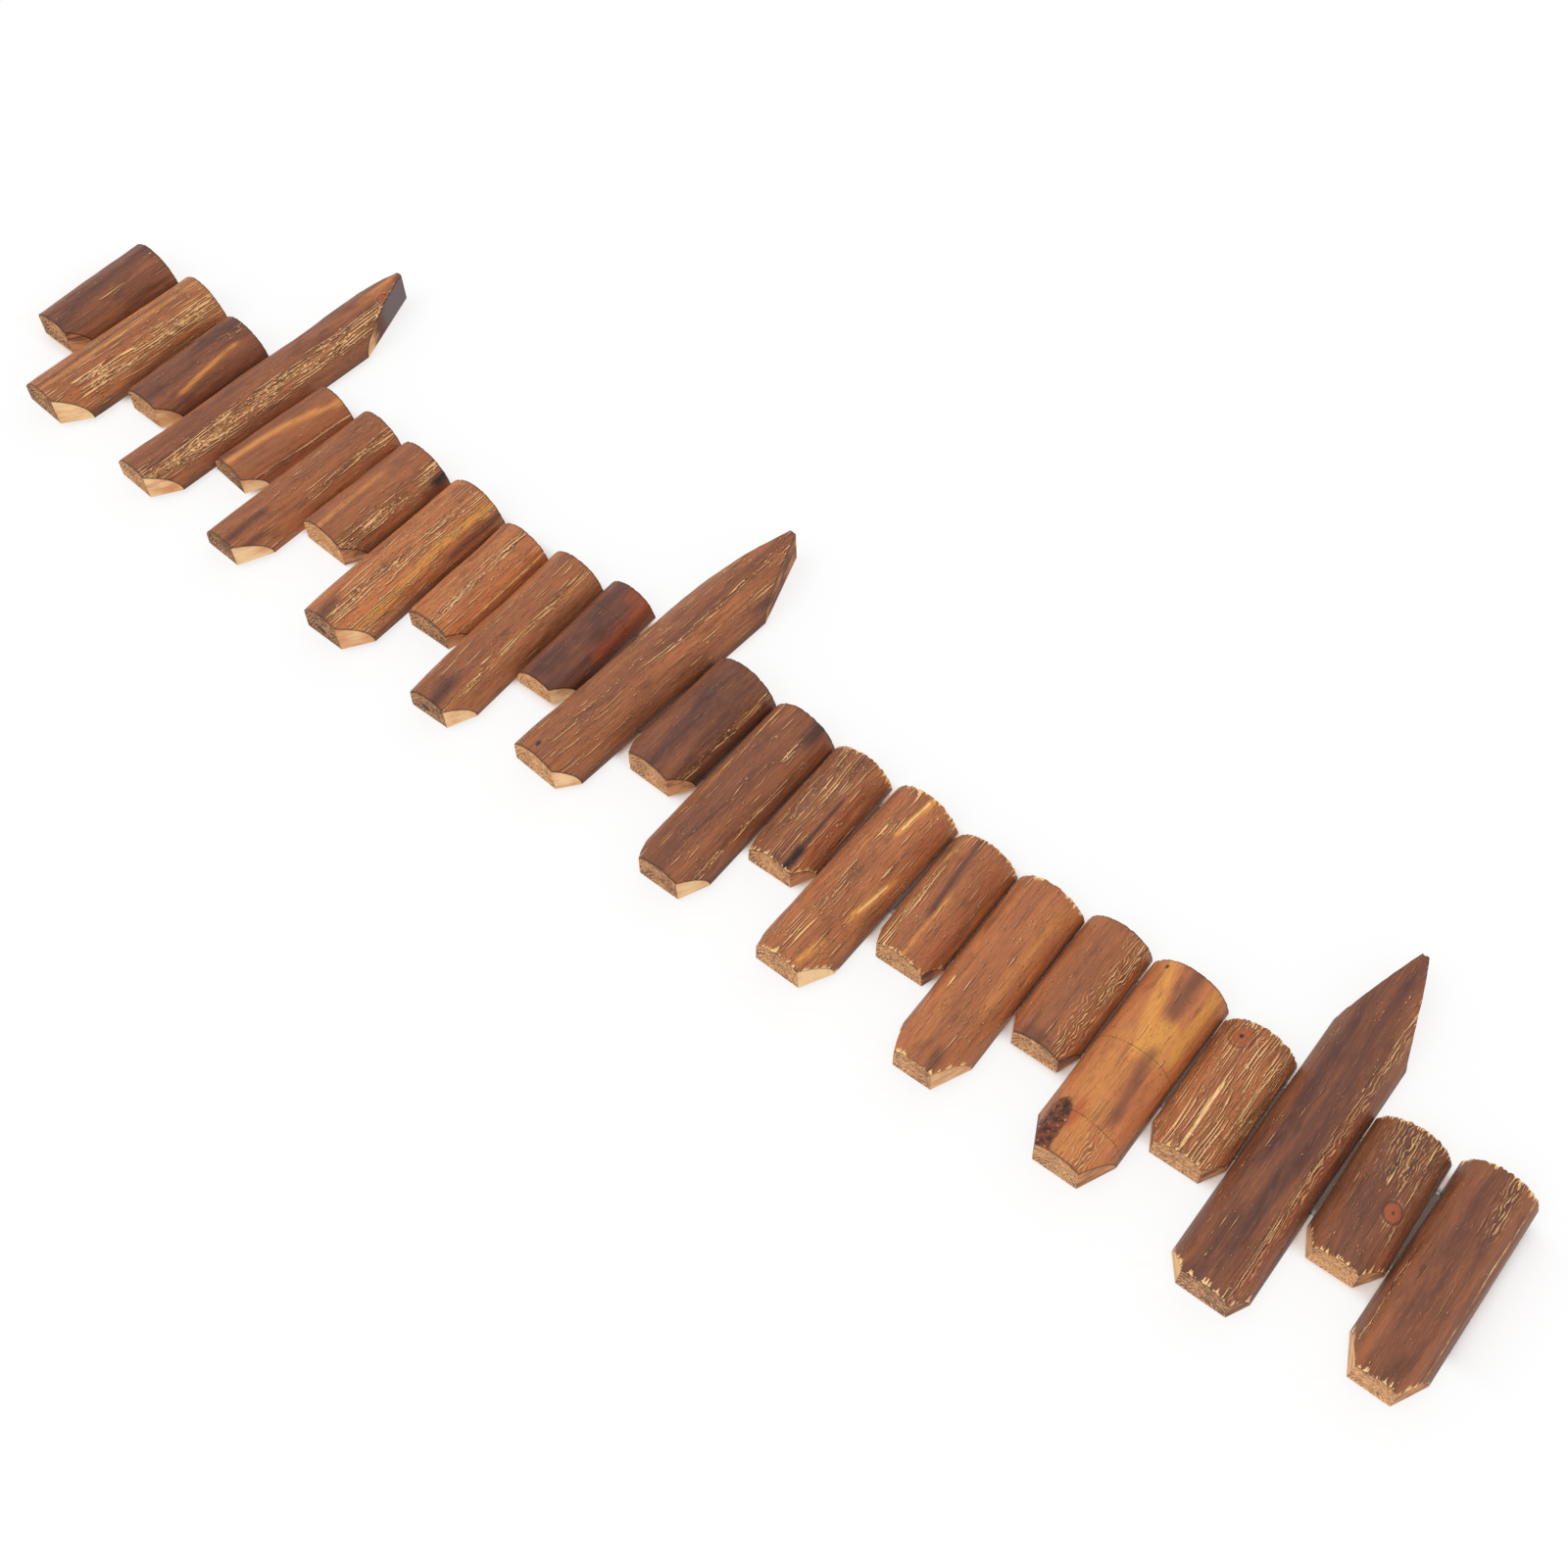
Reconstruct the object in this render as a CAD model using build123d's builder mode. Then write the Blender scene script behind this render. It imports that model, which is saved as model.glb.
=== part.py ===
from build123d import *
import os
from math import cos, radians, sin, tan
from typing import NamedTuple

# Garden edging of split logs: a row of half-round pickets stapled to two wires.
#
# The edging stands upright. +Z is up, X runs along the row, and the round side of every log
# faces -Y. The flat sawn backs all lie in the plane y = BACK, with the wires behind them.
# The ground is at z = 0, the sawn foot of the middle log, and the stakes reach below it.
# Logs are counted from the +X end. A log's own outline is drawn on its back, with x across
# the log towards +X and y along it, from the height at which the log leans.

# Logs
LOG_WIDTH = 48.0        # across the flat back of a plain log
LOG_BULGE = 23.5        # from the flat back to the crest of a plain log
SHORT_LENGTH = 95.0     # every odd log
TALL_LENGTH = 145.0     # every even log, from the ground up
STAKE_DEPTH = 104.0     # how far a plain stake goes on below its log's sawn length
GAP = 0.6               # least room between two neighbours
BACK = 10.0             # y of the flat backs

# Wires and staples
WIRE = 1.8              # diameter
WIRE_SEAT = 0.1         # room between a wire and what it touches
WIRE_TAIL = 14.0        # wire past the last staple
LOWER_WIRE = 14.0       # height over the ground
UPPER_WIRE = 70.0
STAPLE_WIRE = 1.4       # thickness of the staples' own square wire
STAPLE_LEGS = 9.0       # across a staple, outside its legs


class Log(NamedTuple):
    """How one log differs from a plain one, in millimetres and degrees."""
    wider: float        # than LOG_WIDTH
    slip: float         # up the wires
    lean: float         # top towards +X
    clip_near: float    # width of the corner cut off the top at the +X side
    clip_far: float     # the same at the -X side
    clip_down: float    # height of both corners


LOGS = [
    Log(4, -7, 0.5, 9, 11, 16), Log(6, -7, 3.0, 4, 14, 20),
    Log(2, 0, 0.5, 9, 11, 16), Log(0, -3, 3.0, 4, 12, 20),
    Log(-7, 2, 5.0, 2, 6, 17), Log(-4, -1, 1.5, 3, 11, 24),
    Log(4, 2, 1.5, 7, 7, 16), Log(4, 3, -0.5, 7, 13, 19),
    Log(-3, 8, -2.0, 6, 5, 16), Log(-2, 3, -2.0, 6, 9, 19),
    Log(-8, -4, -1.5, 2, 8, 17), Log(4, -9, 2.5, 6, 10, 14),
    Log(4, 0, 0.0, 10, 9, 16), Log(2, 2, -1.5, 10, 9, 20),
    Log(-2, 2, -2.5, 5, 8, 16), Log(2, 1, -1.0, 6, 11, 21),
    Log(-1, 4, -3.0, 8, 5, 16), Log(1, 3, -3.0, 10, 12, 25),
    Log(-2, -2, -3.0, 8, 6, 16), Log(5, -2, -2.5, 12, 11, 24),
    Log(1, 2, -3.0, 8, 9, 16), Log(2, 6, -2.5, 11, 7, 14),
    Log(0, -2, -3.5, 8, 11, 16), Log(0, -10, -2.0, 11, 11, 22),
]
MIDDLE_LOG = len(LOGS) // 2 + 1      # stands on the ground at x = 0, unslipped and upright


class Point(NamedTuple):
    """How one stake is cut to a point, in millimetres."""
    longer: float       # than STAKE_DEPTH
    aside: float        # middle of the tip from the middle of the stake, towards +X
    cut_near: float     # length of the cut along the +X flank
    cut_far: float      # the same along the -X flank


POINTS = {4: Point(1, 4, 44, 59), 12: Point(-9, -1, 80, 55), 22: Point(-1, 1, 58, 61)}
TIP_WIDTH = 5.0         # of the blunt tips

LEAN_HEIGHT = SHORT_LENGTH / 2      # the logs lean about this height


def width(log):
    """Width of a log's flat back."""
    return LOG_WIDTH + log.wider


def foot(log):
    """The sawn foot of a log, along the log."""
    return log.slip - LEAN_HEIGHT


def top(place, log):
    """The sawn top of a log, along the log."""
    return foot(log) + (SHORT_LENGTH if place % 2 else TALL_LENGTH)


def long_edge(place, log, side):
    """Where the edge of a log's back at the +X (1) or -X (-1) side starts and ends in height."""
    lean = radians(log.lean)
    drop = side * width(log) / 2 * sin(lean)
    return foot(log) * cos(lean) - drop, (top(place, log) - log.clip_down) * cos(lean) - drop


def spacing(place, log, following):
    """From a log to the one after it, so that they stay GAP apart over the height they share."""
    starts, ends = zip(long_edge(place, log, -1), long_edge(place + 1, following, 1))
    fan = tan(radians(following.lean)) - tan(radians(log.lean))
    half_widths = sum(width(each) / 2 / cos(radians(each.lean)) for each in (log, following))
    return half_widths + GAP + max(max(starts) * fan, min(ends) * fan)


def row_places():
    """x of every log, at the height at which it leans."""
    places = [0.0]
    for place, (log, following) in enumerate(zip(LOGS, LOGS[1:]), start=1):
        places.append(places[-1] - spacing(place, log, following))
    return [x - places[MIDDLE_LOG - 1] for x in places]


def outline(place, log):
    """Corners of a log's back, from the top at the +X side round by the foot."""
    half, high, low = width(log) / 2, top(place, log), foot(log)
    head = [(half - log.clip_near, high), (half, high - log.clip_down)]
    tail = [(-half, high - log.clip_down), (log.clip_far - half, high)]
    if place not in POINTS:
        return head + [(half, low), (-half, low)] + tail
    point = POINTS[place]
    tip = low - STAKE_DEPTH - point.longer
    ground_end = [(half, tip + point.cut_near), (point.aside + TIP_WIDTH / 2, tip)]
    ground_end += [(point.aside - TIP_WIDTH / 2, tip), (-half, tip + point.cut_far)]
    return head + ground_end + tail


def split_log(label, x, place, log):
    """One log, its round half cut to the outline of its back."""
    along = Vector(0, 0, 1).rotate(Axis.Y, log.lean)
    across = Vector(1, 0, 0).rotate(Axis.Y, log.lean)
    back = Plane(origin=(x, BACK, LEAN_HEIGHT), x_dir=across, z_dir=(0, -1, 0))
    corners = outline(place, log)
    lowest = min(y for _, y in corners)
    section = Plane(origin=back.from_local_coords((0, lowest, 0)), x_dir=across, z_dir=along)
    bulge = LOG_BULGE + log.wider / 2
    with BuildPart() as half_log:
        with BuildSketch(section):
            Ellipse(width(log) / 2, bulge)
        extrude(amount=top(place, log) - lowest)
        with BuildSketch(back):
            with BuildLine():
                Polyline(*corners, close=True)
            make_face()
        extrude(amount=2 * bulge, mode=Mode.INTERSECT)
    half_log.part.label = label
    export_step(half_log.part, f"parts/{label}.step")


def staple_places(height):
    """x of the middle of every log at a height."""
    rows = zip(row_places(), LOGS)
    return [x + (height - LEAN_HEIGHT) * tan(radians(log.lean)) for x, log in rows]


def wire(label, height):
    """A straight wire along the backs of all the logs."""
    places = staple_places(height)
    with BuildPart() as line:
        with BuildSketch(Plane.YZ.offset(places[-1] - WIRE_TAIL)):
            with Locations((BACK + WIRE_SEAT + WIRE / 2, height)):
                Circle(WIRE / 2)
        extrude(amount=places[0] - places[-1] + 2 * WIRE_TAIL)
    line.part.label = label
    export_step(line.part, f"parts/{label}.step")


def staples(label, height):
    """A staple over the wire on every log, its legs against the back."""
    inside = WIRE + 2 * WIRE_SEAT
    with BuildPart() as row:
        for x in staple_places(height):
            with BuildSketch(Plane.YZ.offset(x - STAPLE_WIRE / 2)):
                with Locations((BACK, height)):
                    Rectangle(inside + STAPLE_WIRE, STAPLE_LEGS, align=(Align.MIN, Align.CENTER))
                    Rectangle(inside, STAPLE_LEGS - 2 * STAPLE_WIRE,
                              align=(Align.MIN, Align.CENTER), mode=Mode.SUBTRACT)
            extrude(amount=STAPLE_WIRE)
    row.part.label = label
    export_step(row.part, f"parts/{label}.step")


def kind(place):
    """The name of a log's kind."""
    if place in POINTS:
        return "stake"
    return "short_picket" if place % 2 else "tall_picket"


os.makedirs("parts", exist_ok=True)
for place, (x, log) in enumerate(zip(row_places(), LOGS), start=1):
    split_log(f"{kind(place)}_{place:02d}", x, place, log)
for level, height in (("lower", LOWER_WIRE), ("upper", UPPER_WIRE)):
    wire(f"{level}_wire", height)
    staples(f"{level}_staples", height)

row = row_places()
end_to_end = row[0] + width(LOGS[0]) / 2 - row[-1] + width(LOGS[-1]) / 2
print(f"{len(LOGS)} logs, about {end_to_end:.0f} mm from end to end")
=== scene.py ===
# %% [markdown]
# # A garden edging of split logs
# The object is a low edging for a flower bed: 24 half-round logs, torched brown, cut short and
# tall in turn and stapled at their flat backs to two wires. Three of them are stakes that go
# into the ground. The packed solids give every place and size. Blender only adds what the
# torch, the saw and the wire brush left on them.

# %% Load the packed model
import math
from functools import partial
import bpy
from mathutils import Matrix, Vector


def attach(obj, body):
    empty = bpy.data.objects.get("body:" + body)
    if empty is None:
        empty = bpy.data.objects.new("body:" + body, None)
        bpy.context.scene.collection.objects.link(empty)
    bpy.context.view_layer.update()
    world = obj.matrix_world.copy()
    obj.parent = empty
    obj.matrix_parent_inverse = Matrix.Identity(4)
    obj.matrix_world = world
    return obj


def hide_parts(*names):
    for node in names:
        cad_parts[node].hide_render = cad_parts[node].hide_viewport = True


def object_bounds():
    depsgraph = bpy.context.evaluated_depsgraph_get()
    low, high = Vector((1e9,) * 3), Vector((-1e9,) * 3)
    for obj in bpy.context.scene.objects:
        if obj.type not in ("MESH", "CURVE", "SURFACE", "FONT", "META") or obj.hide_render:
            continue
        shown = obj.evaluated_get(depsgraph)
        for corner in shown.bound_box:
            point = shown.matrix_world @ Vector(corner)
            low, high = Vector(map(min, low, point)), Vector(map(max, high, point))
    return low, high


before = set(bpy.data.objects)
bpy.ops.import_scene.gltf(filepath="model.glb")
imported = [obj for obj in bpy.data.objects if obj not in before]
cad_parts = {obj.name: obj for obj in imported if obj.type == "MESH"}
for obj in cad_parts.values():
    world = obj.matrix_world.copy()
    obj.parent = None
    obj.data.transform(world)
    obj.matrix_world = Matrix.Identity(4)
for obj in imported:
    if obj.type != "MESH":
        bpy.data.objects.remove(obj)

from types import SimpleNamespace
from typing import NamedTuple

import bpy
import numpy as np
from mathutils import Quaternion, Vector

MM = 0.001
cad_low, cad_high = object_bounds()


def place_of(node):
    """A log's place in the row, counted from +X: the number at the end of its name."""
    return int(node[-2:])


log_nodes = sorted((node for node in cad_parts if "picket" in node or "stake" in node),
                   key=place_of)
print(len(log_nodes), "logs in a box of", [round(side / MM) for side in cad_high - cad_low], "mm")

# %% [markdown]
# ## Camera
# The edging was photographed lying on its back, with its tops towards the lower left. Here it
# stands, so the camera does the turning: it looks down at the row and is rolled far over. A
# camera that only tracks a point would keep the horizon level, so the roll is added after it.

# %% Camera
EYE = Vector((-543.8, -1099.2, 558.5)) * MM
LOOKED_AT = Vector((-67.3, 10.0, 41.2)) * MM
ROLL = math.radians(-135.2)
SENSOR, FOCAL_LENGTH = 36.0, 47.48      # mm, as on a film camera


def add_object(name, data):
    """A new object at the origin, in the scene."""
    made = bpy.data.objects.new(name, data)
    bpy.context.scene.collection.objects.link(made)
    return made


def aim(made, direction, roll=0.0):
    """Turns a camera or a lamp to face a direction."""
    made.rotation_mode = "QUATERNION"
    level = direction.to_track_quat("-Z", "Y")
    made.rotation_quaternion = level @ Quaternion((0, 0, 1), roll)


camera_data = bpy.data.cameras.new("camera")
camera_data.sensor_width, camera_data.lens = SENSOR, FOCAL_LENGTH
camera = add_object("camera", camera_data)
camera.location = EYE
aim(camera, LOOKED_AT - EYE, ROLL)
bpy.context.scene.camera = camera
print("camera", round((LOOKED_AT - EYE).length / MM), "mm from the backs")

# %% [markdown]
# ## Node trees as lines of Python
# Both the shapes and the finishes below are node trees. A tree of sums is easier to read as
# sums, so one small class wraps a socket and turns + - * / into Math nodes. Every other node
# comes from one method, which sets the node's settings first, because they decide which
# sockets it has, and then fills its sockets.

# %% Values that add Math nodes
def maths(operation, turned=False):
    """A method that adds a Math node. Turned, it takes its own value last."""
    def method(self, *others):
        terms = (*others, self) if turned else (self, *others)
        sockets = dict(zip(("Value", "Value_001"), terms))
        return self.nodes.add("ShaderNodeMath", {"operation": operation}, sockets)
    return method


class Value:
    """One output socket. Arithmetic on it adds Math nodes to its tree."""

    def __init__(self, nodes, socket):
        self.nodes, self.socket = nodes, socket

    __add__ = __radd__ = maths("ADD")
    __sub__, __rsub__ = maths("SUBTRACT"), maths("SUBTRACT", turned=True)
    __mul__ = __rmul__ = maths("MULTIPLY")
    __truediv__, __rtruediv__ = maths("DIVIDE"), maths("DIVIDE", turned=True)
    __pow__, __rpow__ = maths("POWER"), maths("POWER", turned=True)
    __abs__ = maths("ABSOLUTE")
    sin, cos, arcsin = maths("SINE"), maths("COSINE"), maths("ARCSINE")
    larger, smaller = maths("MAXIMUM"), maths("MINIMUM")
    over = maths("GREATER_THAN")        # 1 above the other value, else 0

    def __neg__(self):
        return 0 - self

    def of(self, name):
        """Another output of the same node."""
        return Value(self.nodes, self.socket.node.outputs[name])

    def rise(self, low, high, smooth=True):
        """0 below low, 1 above high."""
        kind = "SMOOTHSTEP" if smooth else "LINEAR"
        return self.nodes.add("ShaderNodeMapRange", {"interpolation_type": kind},
                              {"Value": self, "From Min": low, "From Max": high})


print("values can be combined in", sum(map(callable, vars(Value).values())), "ways")

# %% Trees of nodes
class Nodes:
    """A node tree that starts empty."""

    def __init__(self, tree):
        self.tree = tree
        tree.nodes.clear()

    def __len__(self):
        return len(self.tree.nodes)

    def add(self, kind, settings=None, sockets=None):
        """A node of a kind: its settings, then the values or links of its sockets."""
        node = self.tree.nodes.new(kind)
        for name, value in (settings or {}).items():
            setattr(node, name, value)
        for name, value in (sockets or {}).items():
            by_identifier = {socket.identifier: socket for socket in node.inputs}
            socket = by_identifier.get(name) or node.inputs[name]
            if isinstance(value, Value):
                self.tree.links.new(value.socket, socket)
            else:
                socket.default_value = value
        return Value(self, next((s for s in node.outputs if s.enabled), None))

    def vector(self, x, y, z):
        return self.add("ShaderNodeCombineXYZ", sockets={"X": x, "Y": y, "Z": z})

    def parts(self, vector):
        split = self.add("ShaderNodeSeparateXYZ", sockets={"Vector": vector})
        return [split.of(axis) for axis in "XYZ"]

    def noise(self, x, y, z, detail=2.0, rough=0.5):
        """Smooth noise from 0 to 1, one bump to each unit."""
        return self.add("ShaderNodeTexNoise", sockets={
            "Vector": self.vector(x, y, z), "Scale": 1.0, "Detail": detail, "Roughness": rough})

    def mix(self, share, first, second):
        """From the first colour to the second."""
        return self.add("ShaderNodeMix", {"data_type": "RGBA"}, {
            "Factor_Float": share, "A_Color": first, "B_Color": second})


def colour(red, green, blue):
    """A colour as a screen shows it, 0 to 255, in the linear values that shaders use."""
    shares = [part / 255 for part in (red, green, blue)]
    return (*[s / 12.92 if s <= 0.04045 else ((s + 0.055) / 1.055) ** 2.4 for s in shares], 1.0)


print("a screen's mid grey is", round(colour(128, 128, 128)[0], 3), "in a shader")

# %% [markdown]
# ## Where each log is
# Every log is half an oval, cut to an outline that is drawn on its flat back: two clipped
# corners at the top, and a sawn foot or a point below. The solid's vertices on the back plane
# are that outline's corners, so the sizes are read from there and stay true to the solid.
# The two longest sides of the outline give the log's lean.

# %% Read the outlines from the solids
class Outline(NamedTuple):
    half: float         # half the width of the back
    bulge: float        # from the back to the crest
    top: float          # along the log
    foot: float
    near_clip: float    # width of the clipped corner at the +X side
    far_clip: float
    clip_down: float    # height of both clipped corners
    tip_near: float     # where the foot's flat part ends at the +X side
    tip_far: float
    near_cut: float     # length of the cut to the point at the +X side
    far_cut: float
    lean: float         # top towards +X
    place_x: float      # where the log's own middle line crosses zero
    place_z: float
    back: float         # y of the back


HAIR = 0.05 * MM        # two corners at one height differ by less


def corners_of(points, back):
    """The outline's corners in x and z, in order round its middle."""
    corners = np.unique(np.round(points[points[:, 1] > back - HAIR][:, [0, 2]], 6), axis=0)
    spokes = corners - corners.mean(0)
    return corners[np.argsort(np.arctan2(spokes[:, 1], spokes[:, 0]))]


def read_outline(node):
    points = np.array([v.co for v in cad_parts[node].data.vertices])
    back = points[:, 1].max()
    corners = corners_of(points, back)
    sides = np.roll(corners, -1, 0) - corners
    longest = sides[np.argsort(-np.hypot(*sides.T))[:2]]
    along = (longest * np.sign(longest[:, 1:])).sum(0)
    along /= np.hypot(*along)
    across = np.array([along[1], -along[0]])
    u, v = corners @ across, corners @ along
    middle, half = (u.max() + u.min()) / 2, (u.max() - u.min()) / 2
    u = u - middle
    near, far = v[u > half - HAIR], v[u < HAIR - half]
    at_top, at_foot = u[v > v.max() - HAIR], u[v < v.min() + HAIR]
    near_clip, far_clip = half - at_top.max(), half + at_top.min()
    pointed = near.min() > v.min() + HAIR
    return Outline(
        half=half, bulge=back - points[:, 1].min(), top=v.max(), foot=v.min(),
        near_clip=near_clip, far_clip=far_clip, clip_down=v.max() - near.max(),
        tip_near=at_foot.max() if pointed else half - near_clip,
        tip_far=at_foot.min() if pointed else far_clip - half,
        near_cut=near.min() - v.min(), far_cut=far.min() - v.min(),
        lean=math.atan2(along[0], along[1]),
        place_x=across[0] * middle, place_z=across[1] * middle, back=back)


outlines = {place_of(node): read_outline(node) for node in log_nodes}
for place, outline in outlines.items():
    print(f"log {place}: {2 * outline.half / MM:.1f} wide,",
          f"{(outline.top - outline.foot) / MM:.1f} long,",
          f"lean {math.degrees(outline.lean):.1f} degrees")

# %% [markdown]
# ## Torched bark
# A gas torch browns the peeled log and a wire brush then tears the soft fibres off, so pale
# flecks show through a brown that runs from smoky to golden. All of it follows the grain, which
# a pattern on plain object coordinates would cut across. So each log carries grain coordinates:
# across the round side, along the log, and a number of its own, so that no two logs are alike.
# Broad things that differ from log to log, such as a golden streak, come in as painted layers.
# The finish itself is one coat of colour that is painted over, step by step.

# %% Materials and a coat of colour
SATIN = 0.3             # how much bare wood shines


def new_material(name):
    material = bpy.data.materials.new(name)
    material.use_nodes = True
    return material, Nodes(material.node_tree)


def close_material(nodes, colour, roughness, height, relief, metallic=0.0):
    """Ends a material in one shader. Heights from 0 to 1 raise the surface by its relief."""
    bump = nodes.add("ShaderNodeBump", sockets={
        "Height": height, "Distance": relief, "Strength": 1.0})
    shader = nodes.add("ShaderNodeBsdfPrincipled", sockets={
        "Base Color": colour, "Roughness": roughness, "Normal": bump, "Metallic": metallic,
        "Specular IOR Level": SATIN})
    nodes.add("ShaderNodeOutputMaterial", sockets={"Surface": shader})


class Coat:
    """A colour that other colours are painted over."""

    def __init__(self, nodes, first):
        self.nodes, self.colour = nodes, first

    def paint(self, colour, share):
        self.colour = self.nodes.mix(share, self.colour, colour)


bark, nodes = new_material("torched_bark")
print("material", bark.name, "has", len(nodes), "nodes to start with")

# %% Grain and painted layers
LAYERS = {"paint": ("gold", "flecks", "char", "ember"),
          "marks": ("pale", "knot", "tone", "burr"),
          "scars": ("ripple", "first_crack", "second_crack", "fray")}


def carried(nodes, name):
    """The four numbers of an attribute that a mesh carries."""
    read = nodes.add("ShaderNodeAttribute", {"attribute_name": name})
    return (*nodes.parts(read.of("Vector")), read.of("Alpha"))


class Grain:
    """Noise drawn out along the grain of a log, with widths and lengths in millimetres."""

    def __init__(self, nodes):
        self.nodes = nodes
        self.straight, self.along, self.seed, _ = carried(nodes, "grain")
        self.sway = nodes.noise(self.straight / 26, self.along / 60, self.seed + 1)
        self.across = self.straight + (self.sway - 0.5) * 5

    def noise(self, wide, long, salt, shift=0.0, detail=2.0, rough=0.5):
        """One bump to each width and length. Every salt gives another pattern."""
        return self.nodes.noise((self.across + shift) / wide, self.along / long,
                                self.seed + salt, detail, rough)


grain = Grain(nodes)
mark = SimpleNamespace(**{name: value for layer, names in LAYERS.items()
                          for name, value in zip(names, carried(nodes, layer))})
print(len(vars(mark)), "painted numbers on every log")

# %% [markdown]
# ### The torch's brown
# The flame leaves smoky and golden streaks as long as a hand, fine fibres within them, and here
# and there amber or ember red. Each is a noise of its own width and length, so one stretched
# texture would not do. Torn logs show more of their fibres than whole ones.

# %% The torch's brown
DUSK, BROWN, SMOKE_AND_SHADE = colour(93, 58, 49), colour(212, 130, 79), colour(56, 34, 28)
RUST, EMBER, TAN = colour(176, 98, 58), colour(180, 82, 48), colour(224, 146, 96)
AMBER, GOLD = colour(206, 132, 74), colour(228, 156, 78)

smoke = grain.noise(9, 90, salt=0)
haze = grain.noise(14, 28, salt=9, detail=3)
fibre = grain.noise(0.9, 34, salt=5, rough=0.65)
mottle = grain.noise(1.1, 7, salt=25, detail=3, rough=0.65)
patch = grain.noise(6, 24, salt=15)
scorch = grain.noise(7, 22, salt=21, detail=3)
dense = mark.flecks * (0.55 + patch * 0.9)

coat = Coat(nodes, DUSK)
crest_path = 1 - abs(grain.straight + (haze - 0.5) * 20).rise(2, 18)
coat.paint(BROWN, mark.tone + (smoke - 0.5) * 0.75 - crest_path * 0.14)
coat.paint(RUST, haze.rise(0.5, 0.8) * 0.2)
golden = mark.gold * (0.35 + fibre * 0.8 + mottle * 0.5)
coat.paint(AMBER, golden.rise(0.05, 0.7) * 0.85)
coat.paint(GOLD, golden.rise(0.4, 1.1) * 0.9)
coat.paint(EMBER, (mark.ember * (0.3 + haze * 0.6 + fibre * 0.5)).rise(0.1, 0.95))
streaks = ((fibre - 0.5) * (0.4 + dense * 2.4) + (mottle - 0.5) * (0.5 + dense)
           - dense * 0.15)
coat.paint(SMOKE_AND_SHADE, (-streaks).rise(0, 0.8, smooth=False) * 0.9)
coat.paint(TAN, streaks.rise(0, 1.0, smooth=False) * 0.9)
coat.paint(SMOKE_AND_SHADE, scorch.rise(0.52, 0.75) * 0.35)
print("brown:", len(nodes), "nodes")

# %% [markdown]
# ### Torn fibres
# The wire brush pulls soft wood out between the hard lines of the grain. That leaves pale,
# ragged lines side by side and specks among them, each with a groove along it. A cosine
# across the grain spaces the lines and noise breaks them up. The grooves are the same pattern,
# moved sideways by less than a line, and their shadow is painted in dark. Where the grain
# curls, the lines ripple.

# %% Torn fibres
FLECK = colour(255, 197, 137)
LINE_GAP, RIPPLE_GAP = 2.3, 2.1     # mm from line to line
GROOVE_ASIDE, GROOVE_WIDER = 0.6, 0.02


def torn(shift, wider):
    """Where fibres are torn off."""
    drift = grain.noise(5, 50, 11, shift, detail=1)
    comb = ((grain.across + shift + drift * 6) * (2 * math.pi / LINE_GAP)).cos()
    there = grain.noise(1.0, 28, 13, shift, detail=1)
    lines = (comb * 0.2 + there + dense.smaller(0.8) * 0.38 + wider).rise(0.93, 1.0)
    specks = grain.noise(0.6, 3.5, 19, shift, detail=1)
    return lines.larger((specks + dense * 0.18 + patch * 0.25 + wider).rise(0.89, 0.94))


flake, shaded_groove = torn(0.0, 0.0), torn(GROOVE_ASIDE, GROOVE_WIDER)
# the dark line beside every torn line is painted shadow in its groove
coat.paint(SMOKE_AND_SHADE, shaded_groove * 0.7)
coat.paint(FLECK, flake * (0.75 + mottle * 0.7))

wander = grain.noise(6, 9, salt=33, detail=1)
wave = ((grain.across + wander * 6) * (2 * math.pi / RIPPLE_GAP)).sin()
broken = grain.noise(2.0, 6, salt=35, detail=1)
crest = (wave * 0.26 + broken).rise(0.64, 0.74) * mark.ripple
trough = (-wave * 0.26 + broken).rise(0.56, 0.7) * mark.ripple
coat.paint(SMOKE_AND_SHADE, trough * 0.5)
coat.paint(FLECK, crest * 0.8)
print("torn fibres:", len(nodes), "nodes")

# %% [markdown]
# ### Cracks, char and knots
# Some logs have hairline cracks round them, corners that the flame has burnt plum and black,
# and knots: a red spot with a dark heart and an uneven dark rim. They are painted after the
# fibres, because they cut through them. The flanks by the back are painted dark all along, as
# soot and as painted shade where the neighbouring logs meet.

# %% Cracks, char and knots
PLUM, CHAR, SOOT_AND_SHADE = colour(92, 58, 50), colour(38, 30, 32), colour(40, 26, 22)
KNOT_RED = colour(172, 90, 56)

bend = grain.along + (grain.sway - 0.5) * 4
crack = 1 - (abs(bend - mark.first_crack).rise(0.1, 0.4)
             * abs(bend - mark.second_crack).rise(0.1, 0.4))
coat.paint(SOOT_AND_SHADE, crack * patch.rise(0.4, 0.6) * 0.45)
charred = mark.char * (0.4 + haze * 0.7 + mottle * 0.6)
coat.paint(PLUM, charred.rise(0.05, 0.6) * 0.8)
coat.paint(CHAR, charred.rise(0.45, 1))
# painted shade and soot on the flanks that face the neighbouring logs
coat.paint(SOOT_AND_SHADE, abs(grain.straight).rise(30, 38) * 0.6)
uneven = mark.knot * (0.55 + mottle * 0.5 + haze * 0.4)
coat.paint(KNOT_RED, uneven.rise(0.2, 0.6) * 0.8)
coat.paint(SMOKE_AND_SHADE, (1 - abs(uneven - 0.3).rise(0, 0.12)) * mottle * 0.9)
coat.paint(FLECK, (1 - abs(uneven - 0.15).rise(0, 0.1)) * fibre.rise(0.5, 0.7) * 0.5)
coat.paint(SMOKE_AND_SHADE, mark.knot.rise(0.92, 0.99))
print("cracks, char and knots:", len(nodes), "nodes")

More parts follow.
